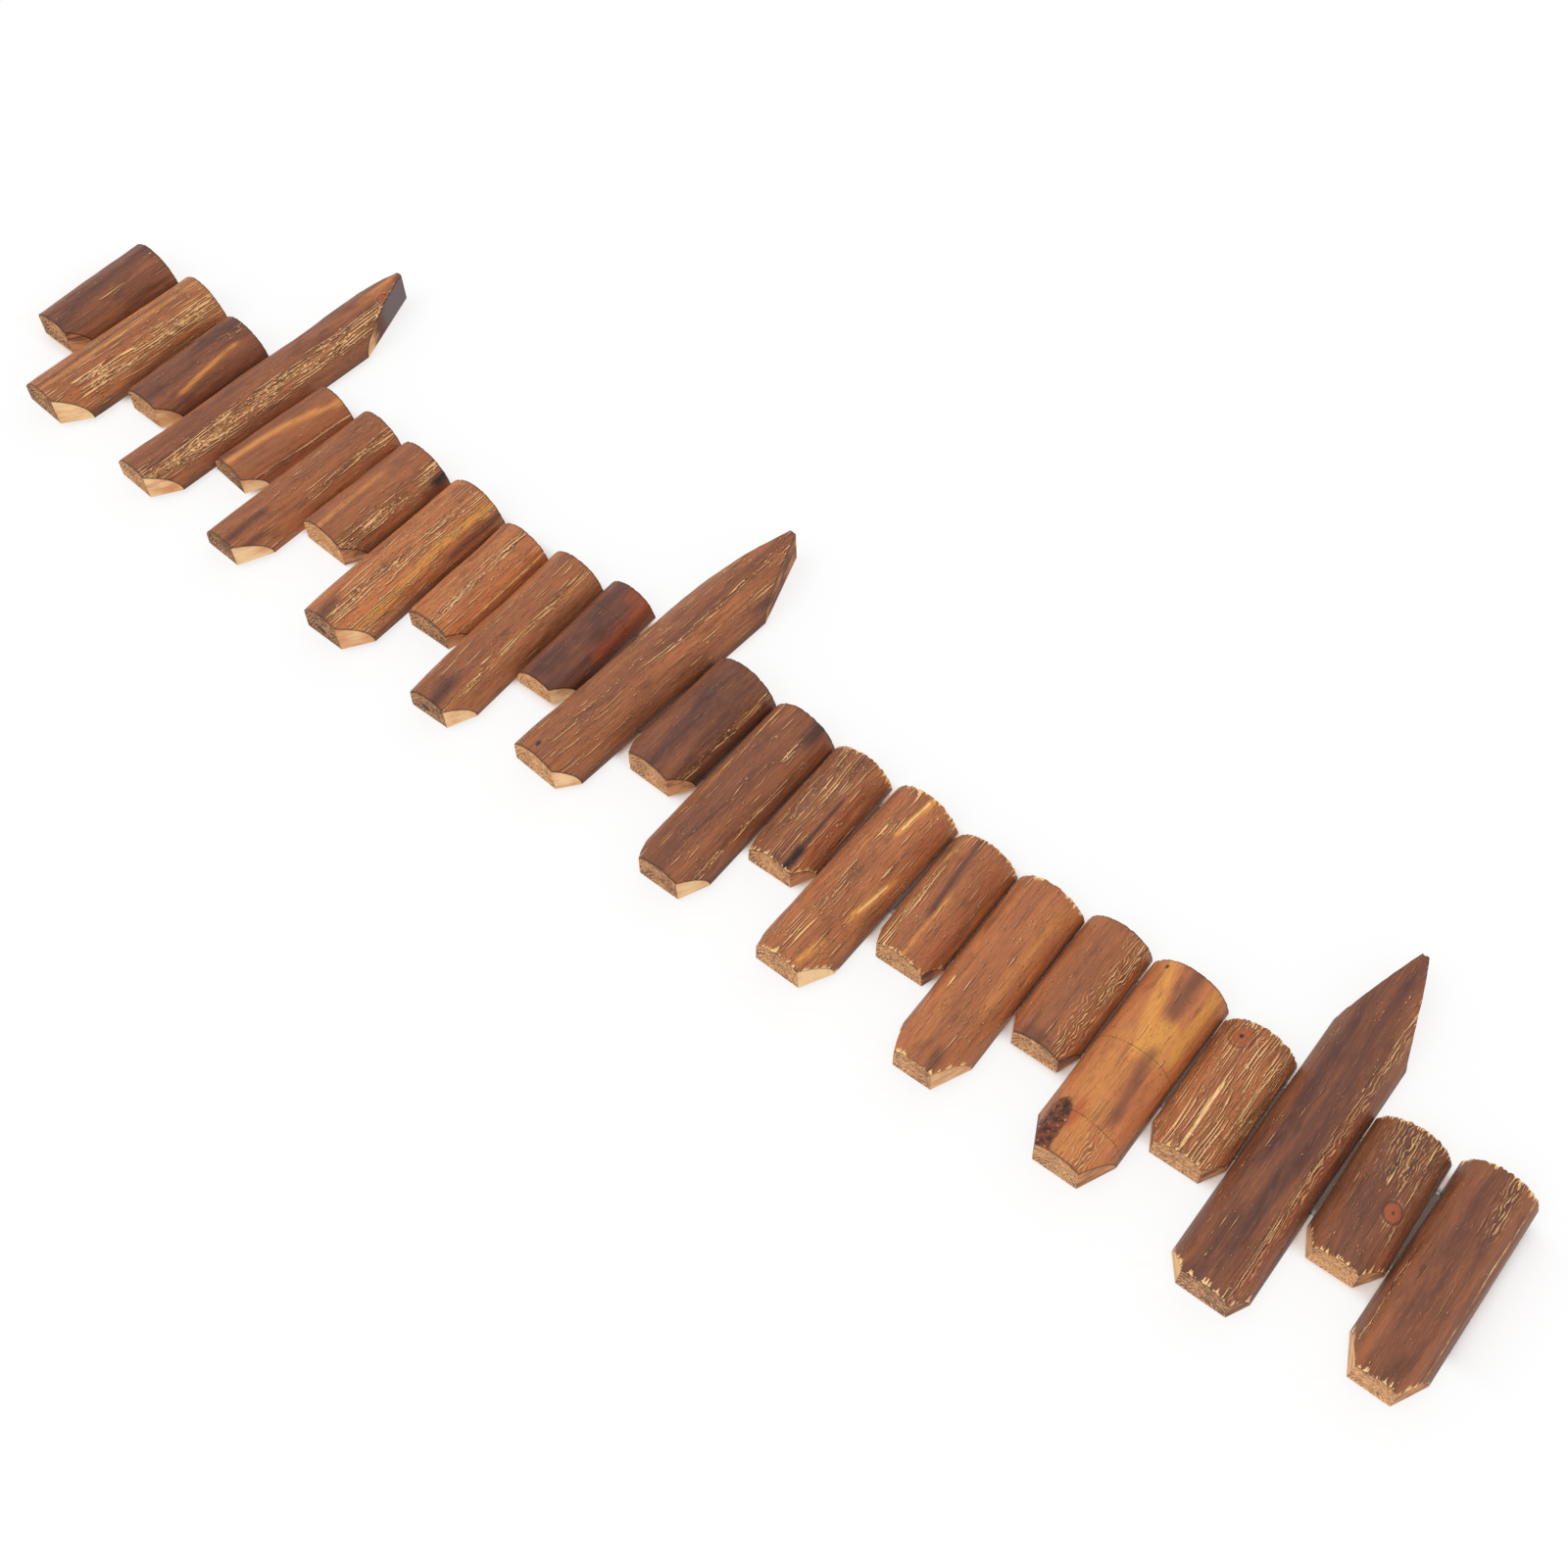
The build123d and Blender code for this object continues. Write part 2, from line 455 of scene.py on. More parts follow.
# %% [markdown]
# ### Rims, bare wood and the burr
# Along a clean rim the flame bites deeper, so the rim is sooty. A splintered rim is chipped to
# the pale wood instead, and so are a few long tears. One log carries a burr, a scorched lump of
# knotty wood, with golden glints painted on its lumps as highlights. Last, the same patterns
# raise and roughen the surface.

# %% Rims, bare wood and the burr
PALE = colour(250, 204, 140)
CHIP_LENGTH = 8         # mm, of the longest chips
BARK_RELIEF = 0.6 * MM

from_top, from_foot, _, _ = carried(nodes, "ends")
from_end = from_top.smaller(from_foot)
coat.paint(SOOT_AND_SHADE, (1 - (from_end - mottle).rise(-0.2, 1.2)) * (1 - mark.fray) * 0.7)
notch = nodes.noise(grain.straight / 2.8, grain.seed, 0.0, detail=3, rough=0.7).rise(0.42, 0.8)
chip = (notch * CHIP_LENGTH * mark.fray.rise(0.3, 1.0) - from_end).rise(0, 0.6)
tear = (mark.pale * (0.2 + fibre * 0.6 + mottle)).rise(0.5, 0.75)
coat.paint(PALE, tear.larger(chip))

lump = grain.noise(5, 5, salt=31, detail=3, rough=0.6)
glint_highlight = grain.noise(1.5, 1.5, salt=37, detail=1)
knotty = Coat(nodes, SOOT_AND_SHADE)
knotty.paint(KNOT_RED, lump.rise(0.3, 0.7) * 0.6)
# the golden glints on the burr's lumps are painted highlights
knotty.paint(GOLD, (glint_highlight + (lump - 0.5) * 0.5).rise(0.64, 0.74) * 0.9)
burred = (mark.burr * (0.5 + lump)).rise(0.35, 0.55)
coat.paint(knotty.colour, burred)

height = (fibre * 0.4 + mottle * 0.25 + flake * 0.6 - shaded_groove * 0.4 + crest * 0.6
          - crack * 0.5 + burred * lump * 1.5)
roughness = 0.44 + flake * 0.25 + fibre * 0.12 - burred * 0.2
close_material(nodes, coat.colour, roughness, height, BARK_RELIEF)
print("bark:", len(nodes), "nodes")

# %% [markdown]
# ## Sawn ends
# A saw across the log shows year rings round the pith, in a tan that the torch has toasted in
# specks. A ring texture would be too even, so the rings are a sine of the distance from the
# pith, bent by noise. The sawn faces read the log's own section coordinates: across, depth from
# the back, and distance to the bark.

# %% Sawn ends
END_TAN, END_DARK = colour(234, 172, 114), colour(82, 46, 30)
ASH = colour(118, 101, 99)
RING_GAP = 2.4          # mm from ring to ring
PITH_ACROSS, PITH_DEEP = 3, 8       # mm, the middle of a dark heart
SAWN_RELIEF = 0.6 * MM

end_wood, nodes = new_material("sawn_end")
across, depth, to_bark, _ = carried(nodes, "section")
fresh, pith, ashen, _ = carried(nodes, "sawn")
seed = carried(nodes, "grain")[2]
wander = nodes.noise(across / 9, depth / 9, seed + 3)
from_pith = (across * across + depth * depth) ** 0.5
ring = ((from_pith + wander * 5) * (2 * math.pi / RING_GAP)).sin()
speck = nodes.noise(across / 1.8, depth / 1.8, seed + 7, detail=3, rough=0.75)
stain = nodes.noise(across / 12, depth / 9, seed + 11)
light = fresh * 0.8 + ring * 0.2 + (speck - 0.5) * 2.9 + (stain - 0.5) * 0.9
coat = Coat(nodes, END_DARK)
coat.paint(END_TAN, light.rise(0, 1, smooth=False))
aside, down = (across - PITH_ACROSS) / 4, (depth - PITH_DEEP) / 3
coat.paint(CHAR, (1 - (aside * aside + down * down).rise(0.4, 1.3)) * pith)
coat.paint(SMOKE_AND_SHADE, (1 - to_bark.rise(0.2, 1.4)) * 0.8)
coat.paint(ASH, ashen * 0.9)
close_material(nodes, coat.colour, 0.72 + speck * 0.15, speck + ring * 0.15, SAWN_RELIEF)
print("sawn ends:", len(nodes), "nodes")

# %% [markdown]
# ## Clipped corners
# Most corners were clipped after the torch, so they are pale and fresh, with fibres along the
# log. Others were clipped before it and are toasted, and one stake's cut is charred to ash. One
# material does them all, and reads from every face how fresh it is.

# %% Clipped corners
CUT_CREAM, CUT_TAN = colour(245, 205, 152), colour(208, 142, 92)
CUT_TOASTED = colour(104, 62, 44)
FIBRE_RELIEF = 0.4 * MM

cut_wood, nodes = new_material("fresh_cut")
_, depth, to_bark, _ = carried(nodes, "section")
fresh, _, ashen, _ = carried(nodes, "sawn")
_, along, seed, _ = carried(nodes, "grain")
fibre = nodes.noise(depth / 1.1, along / 16, seed + 7, detail=3, rough=0.6)
stain = nodes.noise(depth / 8, along / 14, seed + 12)
light = fresh + (fibre - 0.5) * 1.0 + (stain - 0.5) * 1.3
coat = Coat(nodes, CUT_TOASTED)
coat.paint(CUT_TAN, light.rise(0, 0.55))
coat.paint(CUT_CREAM, light.rise(0.5, 1.3))
coat.paint(CUT_TOASTED, (ashen * 1.4 + fibre - 0.5).rise(0.1, 0.5))
coat.paint(ASH, (ashen + (fibre - 0.5) * 0.6).rise(0.4, 0.8))
coat.paint(SMOKE_AND_SHADE, (1 - (to_bark - fibre * 0.5).rise(0.1, 0.8)) * 0.7)
close_material(nodes, coat.colour, 0.68 + fibre * 0.15, fibre, FIBRE_RELIEF)
print("clipped corners:", len(nodes), "nodes")

# %% [markdown]
# ## Backs
# The flat backs are sawn along the log and were never torched, only smoked at their edges. A
# round blade leaves faint bowed marks across the grain. Each log is another plank, so its tone
# comes from the log's own number.

# %% Backs
BACK_TAN, BACK_DARK = colour(188, 146, 100), colour(132, 88, 58)
SAW_BOW = 220           # how flat the marks of the blade are

back_wood, nodes = new_material("sawn_back")
across = carried(nodes, "section")[0]
_, along, seed, _ = carried(nodes, "grain")
lines = nodes.noise(across / 1.6, along / 50, seed + 2, detail=3, rough=0.6)
bowed = along + across * across / SAW_BOW
saw = nodes.noise(across / 40, bowed / 2.6, seed + 4, detail=1)
stain = nodes.noise(across / 18, along / 40, seed + 6)
plank = nodes.noise(seed / 3, 0.5, 0.5, detail=0)
light = lines * 1.1 + saw * 0.15 + stain * 0.6 + plank * 0.8 - 0.85
coat = Coat(nodes, BACK_DARK)
coat.paint(BACK_TAN, light.rise(0.15, 0.8))
coat.paint(SMOKE_AND_SHADE, abs(across).rise(12, 26) * (0.25 + stain * 0.7))
close_material(nodes, coat.colour, 0.75 + lines * 0.15, lines * 0.6 + saw * 0.5, FIBRE_RELIEF)
print("backs:", len(nodes), "nodes")

# %% [markdown]
# ## One tree for all the logs
# All the logs follow one rule, so one Geometry Nodes tree makes them. It starts from a finely
# divided box and bends it: the box's front becomes the round bark, its ends become the sawn top
# and foot. Displacing the solid's own mesh would not work, because it has no faces to bend.

# %% The tree's sizes and its box
COLUMNS, DEPTH_CELLS = 88, 8    # cells across the bark and through the depth
INPUT_KINDS = {"rows": "NodeSocketInt", "points": "NodeSocketGeometry"}


class Detail(NamedTuple):
    rows: int               # cells along the log
    seed: float
    fray: float             # share of FRAY
    knot_turn: float        # radians from the crest
    knot_along: float
    knot_radius: float
    knot_height: float


def new_tree(name, output, inputs):
    """The nodes of a new Geometry Nodes tree, and its named inputs."""
    tree = bpy.data.node_groups.new(name, "GeometryNodeTree")
    tree.interface.new_socket(output, in_out="OUTPUT", socket_type="NodeSocketGeometry")
    for given in inputs:
        tree.interface.new_socket(given, in_out="INPUT",
                                  socket_type=INPUT_KINDS.get(given, "NodeSocketFloat"))
    nodes = Nodes(tree)
    entry = nodes.add("NodeGroupInput")
    return nodes, SimpleNamespace(**{given: entry.of(given) for given in inputs})


nodes, size = new_tree("split_log", "Log", Outline._fields + Detail._fields)
log_tree = nodes.tree
box = nodes.add("GeometryNodeMeshCube", sockets={
    "Size": (2, 2, 2), "Vertices X": COLUMNS + 1, "Vertices Y": DEPTH_CELLS + 1,
    "Vertices Z": size.rows + 1})
side, fore, up = nodes.parts(nodes.add("GeometryNodeInputPosition"))
facing = nodes.parts(nodes.add("GeometryNodeInputNormal"))
print(len(vars(size)), "sizes, box of", COLUMNS, "by", DEPTH_CELLS, "cells")

# %% [markdown]
# ### Columns on the creases
# The clipped corners meet the sawn end in sharp creases, and a crease shows only where a line of
# vertices runs along it. So the box's columns are spread round the oval in such a way that two
# of them fall exactly on the creases, at the top and at the foot. Rows crowd towards the ends
# and layers towards the bark, where there is more to show.

# %% Columns on the creases
SHOULDER = 0.5              # share of the box at which the creases lie
ROW_CROWDING, LAYER_CROWDING = 0.55, 1.8

inner = side.rise(-SHOULDER, SHOULDER, smooth=False)
outer_near = side.rise(SHOULDER, 1, smooth=False)
outer_far = (-side).rise(SHOULDER, 1, smooth=False)


def turns(near_crease, far_crease):
    """Angle from the crest of every column, with creases at these places across."""
    near, far = (near_crease / size.half).arcsin(), (far_crease / size.half).arcsin()
    flat = far + (near - far) * inner
    return flat + (math.pi / 2 - near) * outer_near - (math.pi / 2 + far) * outer_far


near_crease, far_crease = size.half - size.near_clip, size.half - size.far_clip
top_turn, foot_turn = turns(near_crease, -far_crease), turns(size.tip_near, size.tip_far)
top_x, foot_x = size.half * top_turn.sin(), size.half * foot_turn.sin()
clipped = (top_x.rise(near_crease, size.half, smooth=False)
           + (-top_x).rise(far_crease, size.half, smooth=False))
top_end = size.top - size.clip_down * clipped
foot_end = (size.foot + size.near_cut * foot_x.rise(size.tip_near, size.half, smooth=False)
            + size.far_cut * (-foot_x).rise(-size.tip_far, size.half, smooth=False))

share = (up + 1) / 2
share = share - (share * (2 * math.pi)).sin() * (ROW_CROWDING / (2 * math.pi))
turn = foot_turn + (top_turn - foot_turn) * share
along = foot_end + (top_end - foot_end) * share
reach = 1 - ((fore + 1) / 2) ** LAYER_CROWDING
print("columns and rows:", len(nodes), "nodes")

# %% [markdown]
# ### Dents, knots and frayed rims
# Noise along the grain dents the bark, always inwards, so that a log doesn't grow out of its
# solid. Only knots and the burr stand a little proud. The rims of the sawn ends fray: ragged
# noise pulls them back along the log. All this is geometry, because it shows on the outline.

# %% Dents, knots and frayed rims
DENT, RIDGE, RIM_WEAR, FRAY = 1.1 * MM, 0.45 * MM, 0.4 * MM, 1.4 * MM
SEED_STEP = 7.3             # keeps the noise of two logs apart
FRAY_SKIN = 12              # how steeply the fray ends below the bark

girth = (size.half + size.bulge) / 2
grain_across, grain_along, salt = turn * girth / MM, along / MM, size.seed * SEED_STEP
dent = nodes.noise(grain_across / 24, grain_along / 60, salt)
ridge = nodes.noise(grain_across / 3.2, grain_along / 40, salt + 2)
ragged = nodes.noise(grain_across / 2.2, grain_along / 5, salt + 4)
lumps = nodes.noise(grain_across / 3, grain_along / 3, salt + 6)

from_top, from_foot = (top_end - along) / MM, (along - foot_end) / MM
rim = 1 - from_top.rise(0, 1.2) * from_foot.rise(0, 1.2)
knot_across = (turn - size.knot_turn) * girth / size.knot_radius
knot_along = (along - size.knot_along) / size.knot_radius
knot = math.e ** -(knot_across * knot_across + knot_along * knot_along)
sunk = (dent.rise(0.3, 0.8) * DENT + ridge.rise(0.35, 0.75) * RIDGE + rim * ragged * RIM_WEAR
        - knot * size.knot_height * (lumps * 2 - 0.3))
sunk = sunk * turn.cos().rise(0.0, 0.35)
fray = (ragged.rise(0.4, 0.7) * FRAY * size.fray * reach ** FRAY_SKIN
        * turn.cos().rise(0.1, 0.4))
frayed = along - fray * (1 - from_top.rise(0, 0.8)) + fray * (1 - from_foot.rise(0, 0.8))
print("dents, knots and rims:", len(nodes), "nodes")

# %% [markdown]
# ### Put the box in place
# The angle round the oval and the height along the log become a place in the row, with the
# log's lean. Before that, every point stores the coordinates that the finishes read, and every
# face which of the four finishes it has, because the bent box no longer tells.

# %% Put the box in place
BARK, END, CUT, BACK = range(4)     # kinds of face
SEAM = 0.01 * MM                    # points nearer than this are one


def store(geometry, name, value, data_type="FLOAT_VECTOR", domain="POINT"):
    return nodes.add("GeometryNodeStoreNamedAttribute",
                     {"data_type": data_type, "domain": domain},
                     {"Geometry": geometry, "Name": name, "Value": value})


def then(nodes, geometry, step, **sockets):
    """The next step that a geometry goes through."""
    return nodes.add("GeometryNode" + step, sockets={"Geometry": geometry, **sockets})


x = turn.sin() * (size.half - sunk * reach)
depth = turn.cos() * (size.bulge - sunk) * reach
to_bark = (1 - reach) * turn.cos() * size.bulge
lean_sin, lean_cos = size.lean.sin(), size.lean.cos()
spot = nodes.vector(size.place_x + x * lean_cos + frayed * lean_sin, size.back - depth,
                    size.place_z - x * lean_sin + frayed * lean_cos)
on_end = abs(facing[2]).over(0.5)
kind = facing[1].over(0.5) * BACK + on_end * (END + abs(side).over(SHOULDER) * (CUT - END))

made = store(box, "kind", kind, "INT", "FACE")
made = store(made, "grain", nodes.vector(grain_across, grain_along, salt))
made = store(made, "section", nodes.vector(x / MM, depth / MM, to_bark / MM))
made = store(made, "ends", nodes.vector(from_top, from_foot, knot))
made = then(nodes, made, "SetPosition", Position=spot)
made = then(nodes, made, "MergeByDistance", Distance=SEAM)
made = then(nodes, made, "SetShadeSmooth")
made = then(nodes, made, "RealizeInstances")
stored = nodes.add("GeometryNodeInputNamedAttribute", {"data_type": "INT"}, {"Name": "kind"})
for number, material in zip((BARK, END, CUT, BACK), (bark, end_wood, cut_wood, back_wood)):
    chosen = nodes.add("FunctionNodeCompare", {"data_type": "INT", "operation": "EQUAL"},
                       {"A_INT": stored, "B_INT": number})
    made = then(nodes, made, "SetMaterial", Selection=chosen, Material=material)
nodes.add("NodeGroupOutput", sockets={"Log": made})
print("split-log tree:", len(nodes), "nodes")

# %% [markdown]
# ## What the torch and the brush did to each log
# The logs are of one kind, but each has marks of its own: a golden streak, a band of torn
# fibres, a charred corner, a knot. They could be drawn as pictures, but a picture would not
# follow the grain. Here each mark is a soft stroke in grain coordinates: a path of turns and
# shares, its width, its strength and how it fades. A turn is in degrees round from the crest,
# towards +X, and a share is of the log's length, from its foot up.

# %% Strokes and looks
class Stroke(NamedTuple):
    what: str               # which painted number
    path: tuple             # (turn, share) along its middle
    width: float            # degrees
    strength: float = 1.0
    fade: float = 0.08      # share of the length over which it ends


class Look(NamedTuple):
    tone: float             # of the bark: 0 smoky, 1 golden brown
    flecks: float           # torn fibres all over
    near: float             # how fresh the clipped corner at the +X side is: 0 toasted, 1 cream
    far: float
    end: float              # the same for the sawn end
    strokes: tuple = ()
    fray: float = 0.2       # splinters at the rims
    pith: float = 0.0       # dark heart in the sawn top
    point: float = 0.3      # how fresh the cuts to a stake's point are
    scorched: float = 0.0   # share of the cut at the point's -X side that is charred
    knot: tuple = ()        # turn, share, radius in mm, height in mm
    cracks: tuple = ()      # shares at which thin cracks run round


gold, flecks, char, ember, pale, ripple, burr = (
    partial(Stroke, what)
    for what in ("gold", "flecks", "char", "ember", "pale", "ripple", "burr"))
print("a stroke has", *Stroke._fields)

# %% Marks on the logs
LOOKS = {
    1: Look(0.27, 0.2, 0.4, 0.2, 0.45, (
        char(((0, 0.0), (-8, 0.9)), 8, 0.25),
        flecks(((-25, 0.2), (-28, 0.6)), 8, 0.5))),
    2: Look(0.70, 0.45, 0.3, 1.0, 0.35, (
        gold(((3, 0.0), (0, 1.0)), 5, 0.8),
        gold(((30, 0.05), (30, 0.4)), 10, 0.6),
        gold(((-42, 0.0), (-42, 0.7)), 20, 0.45),
        flecks(((-42, 0.0), (-42, 0.8)), 24, 1.05),
        ember(((-40, 0.65), (-40, 0.85)), 25, 0.5),
        char(((12, 0.2), (10, 1.0)), 6, 0.35))),
    3: Look(0.24, 0.12, 0.6, 0.75, 0.6, (
        gold(((-29, 0.2), (-33, 0.45), (-40, 0.72)), 4.5, 0.8),
        flecks(((-10, 0.0), (-10, 0.25)), 14, 0.5),
        flecks(((38, 0.0), (38, 0.5)), 10, 0.6))),
    4: Look(0.40, 0.08, 0.5, 0.85, 0.65, (
        flecks(((-35, 0.05), (-38, 1.0)), 22, 1.2),
        gold(((-36, 0.1), (-38, 0.9)), 13, 0.45),
        gold(((10, 0.0), (10, 0.08)), 12, 0.6),
        char(((5, 0.0), (-4, 0.02)), 20, 0.5, 0.02)),
        point=1.0, scorched=0.6, knot=(-14, 0.1, 3.5, 0.4)),
    5: Look(0.49, 0.08, 0.2, 1.0, 0.25, (
        gold(((-28, 0.0), (-5, 0.4), (3, 0.7), (3, 1.0)), 10, 0.75),
        flecks(((-62, 0.0), (-62, 0.9)), 7, 0.8))),
    6: Look(0.57, 0.3, 0.1, 1.0, 0.2, (
        flecks(((-42, 0.0), (-42, 0.5)), 18, 0.8),
        char(((-12, 0.8), (-14, 0.95)), 10, 0.6),
        char(((-45, 0.85), (-45, 0.95)), 8, 0.5))),
    7: Look(0.50, 0.2, 0.75, 0.3, 0.8, (
        gold(((11, 0.4), (5, 1.0)), 6, 0.6),
        flecks(((-42, 0.05), (-50, 0.95)), 20, 1.0),
        char(((-58, 0.0), (-58, 0.08)), 12, 0.8))),
    8: Look(0.84, 0.5, 0.25, 0.75, 0.25, (
        gold(((-43, 0.0), (-38, 0.35), (-50, 0.7), (-50, 0.9)), 9, 1.2),
        flecks(((-15, 0.05), (-15, 0.95)), 22, 0.8),
        char(((5, 0.93), (0, 1.0)), 16, 0.5),
        char(((-62, 0.0), (-62, 0.3)), 8, 0.5)), pith=0.9),
    9: Look(0.88, 0.4, 0.3, 0.5, 0.35, (
        flecks(((-12, 0.05), (-16, 0.95)), 9, 1.1),
        ripple(((-8, 0.05), (-14, 0.95)), 8, 0.8),
        gold(((14, 0.1), (10, 0.9)), 14, 0.4),
        char(((28, 0.0), (26, 0.4)), 8, 0.4),
        pale(((-62, 0.0), (-62, 1.0)), 3, 0.75))),
    10: Look(0.56, 0.35, 0.3, 1.0, 0.35, (
        flecks(((-35, 0.0), (-35, 1.0)), 8, 0.9),
        gold(((-36, 0.0), (-36, 0.9)), 5, 0.5),
        flecks(((18, 0.0), (15, 1.0)), 9, 0.6),
        char(((-10, 0.9), (-15, 1.0)), 14, 0.6)), pith=0.9),
    11: Look(0.16, 0.0, 0.6, 0.95, 0.8, (
        ember(((-20, 0.0), (-25, 0.08)), 30, 0.6),
        ember(((-45, 0.0), (-54, 0.55)), 22, 0.65),
        char(((-40, 0.8), (-40, 1.0)), 25, 0.35)), cracks=(0.26,)),
    12: Look(0.50, 0.35, 0.85, 0.95, 0.75, (
        flecks(((-14, 0.0), (-14, 0.6)), 7, 0.7),
        char(((0, 0.15), (-8, 0.5)), 9, 0.3),
        char(((8, 0.965), (8, 0.97)), 3.5, 0.8, 0.008),
        char(((-55, 0.12), (-60, 0.2)), 12, 0.6)), point=0.15),
    13: Look(0.22, 0.12, 0.6, 0.5, 0.65, (
        flecks(((-58, 0.05), (-58, 1.0)), 9, 0.9),
        gold(((-58, 0.18), (-58, 0.32)), 4.5, 0.8)), fray=0.3),
    14: Look(0.37, 0.25, 0.4, 1.0, 0.45, (
        flecks(((35, 0.0), (35, 1.0)), 5, 0.9),
        flecks(((-30, 0.0), (-30, 0.2)), 7, 0.9),
        flecks(((-57, 0.2), (-57, 0.9)), 6, 1.0),
        char(((-35, 0.0), (-35, 0.07)), 16, 0.7))),
    15: Look(0.50, 0.45, 0.6, 0.4, 0.65, (
        flecks(((12, 0.1), (8, 0.75)), 22, 0.7),
        ember(((-42, 0.2), (-42, 0.8)), 18, 0.5),
        char(((-27, 0.4), (-28, 1.0)), 4, 0.7),
        char(((-28, 0.84), (-28, 1.0)), 8, 0.9)), fray=0.8),
    16: Look(0.69, 0.42, 0.5, 1.25, 0.65, (
        flecks(((5, 0.2), (5, 1.0)), 20, 0.65),
        pale(((-12, 0.04), (-8, 0.2)), 2.2, 1.0, 0.02),
        pale(((-48, 0.45), (-41, 0.62)), 2.2, 1.0, 0.02),
        ember(((-45, 0.0), (-50, 0.4)), 12, 0.5),
        gold(((-14, 0.03), (-7, 0.22)), 5, 1.5, 0.04),
        gold(((-50, 0.42), (-38, 0.66)), 5, 1.5, 0.04),
        gold(((-30, 0.84), (-25, 0.95)), 5, 1.2, 0.04)), fray=0.9),
    17: Look(0.60, 0.35, 0.9, 0.3, 0.65, (
        flecks(((38, 0.0), (30, 1.0)), 14, 1.0),
        gold(((38, 0.0), (32, 0.9)), 9, 0.5),
        gold(((-8, 0.5), (-8, 1.0)), 5, 0.7),
        ember(((-40, 0.1), (-40, 0.9)), 20, 0.4),
        char(((10, 0.0), (0, 0.6)), 6, 0.5)), fray=0.8),
    18: Look(0.72, 0.25, 0.35, 0.8, 0.55, (
        gold(((-38, 0.1), (-34, 0.6)), 15, 0.5),
        gold(((25, 0.6), (10, 0.9)), 14, 0.35),
        char(((-22, 0.94), (-22, 1.0)), 14, 0.4),), fray=0.8),
    19: Look(0.58, 0.15, 0.7, 0.2, 0.65, (
        flecks(((-50, 0.0), (-46, 0.5)), 14, 0.7),
        ripple(((-50, 0.0), (-44, 0.5), (-38, 0.95)), 19, 1.2),
        char(((0, 0.97), (0, 1.0)), 50, 0.4))),
    20: Look(0.88, 0.2, 0.1, 0.4, 0.65, (
        gold(((32, 0.03), (15, 0.25), (0, 0.42)), 13, 1.2),
        gold(((-45, 0.0), (-45, 0.35)), 12, 1.2),
        gold(((-15, 0.3), (-15, 0.4)), 30, 1.1),
        gold(((20, 0.4), (5, 0.95)), 40, 0.6),
        ember(((14, 0.78), (14, 0.84)), 10, 0.8),
        ripple(((-28, 0.87), (-28, 1.0)), 18, 0.8),
        burr(((38, 0.84), (34, 1.0)), 20, 1.3),
        char(((-8, 0.0), (-10, 0.2)), 13, 0.5),
        char(((-18, 0.44), (-30, 0.7)), 13, 0.42),
        char(((37, 0.035), (37, 0.04)), 3, 1.0, 0.008)),
        knot=(34, 0.93, 9, 1.6), cracks=(0.43, 0.8)),
    21: Look(0.70, 0.65, 0.3, 0.3, 0.7, (
        pale(((5, 0.5), (3, 0.92)), 3.5, 1.0),
        pale(((-40, 0.35), (-40, 0.9)), 3, 0.7)), fray=1.0, knot=(22, 0.13, 7, 0.5)),
    22: Look(0.23, 0.12, 0.95, 0.2, 0.4, (
        flecks(((50, 0.1), (50, 0.9)), 10, 0.4),
        flecks(((-34, 0.0), (-36, 1.0)), 10, 0.6),
        ripple(((-44, 0.1), (-44, 1.0)), 9, 0.7),
        ember(((-47, 0.45), (-47, 1.0)), 13, 0.5),
        char(((0, 0.1), (0, 0.9)), 10, 0.3)), fray=0.8, point=0.1),
    23: Look(0.27, 0.25, 0.8, 0.3, 0.8, (
        ripple(((5, 0.03), (-8, 0.3)), 38, 0.65),
        flecks(((-5, 0.0), (-8, 0.4)), 45, 0.5),
        flecks(((-45, 0.6), (-45, 0.95)), 10, 0.6)), fray=1.0, knot=(-27, 0.56, 5.5, 0.6)),
    24: Look(0.31, 0.12, 0.9, 0.4, 0.75, (
        pale(((-57, 0.0), (-57, 0.9)), 3.5, 0.66),
        flecks(((50, 0.5), (50, 0.85)), 6, 0.8),
        ripple(((-18, 0.04), (-22, 0.2)), 12, 0.8),
        char(((-68, 0.1), (-68, 0.9)), 8, 0.35)), fray=1.0),
}
print(sum(len(look.strokes) for look in LOOKS.values()), "strokes on", len(LOOKS), "logs")

# %% [markdown]
# ### Paint the bark
# The strokes become numbers at every vertex of the bark, in the layers that its finish reads. A
# texture would need a picture of its own, and vertices a millimetre apart hold soft marks just
# as well.

# %% Paint the bark
FAR_AWAY = -1000.0          # where a crack lies that isn't there
KNOT_TOP = 1.0              # mm, a knot that stands higher is a burr


def read_vectors(mesh, name):
    values = np.zeros(len(mesh.vertices) * 3, np.float32)
    mesh.attributes[name].data.foreach_get("vector", values)
    return values.reshape(-1, 3)


def stroke_shape(turn, share, stroke):
    """How strong a stroke is at every vertex."""
    turns, shares = zip(*stroke.path)
    aside = (turn - np.interp(share, shares, turns)) / stroke.width
    beyond = np.maximum(shares[0] - share, share - shares[-1]).clip(0) / stroke.fade
    return stroke.strength * np.exp(-aside ** 2 - beyond ** 2)


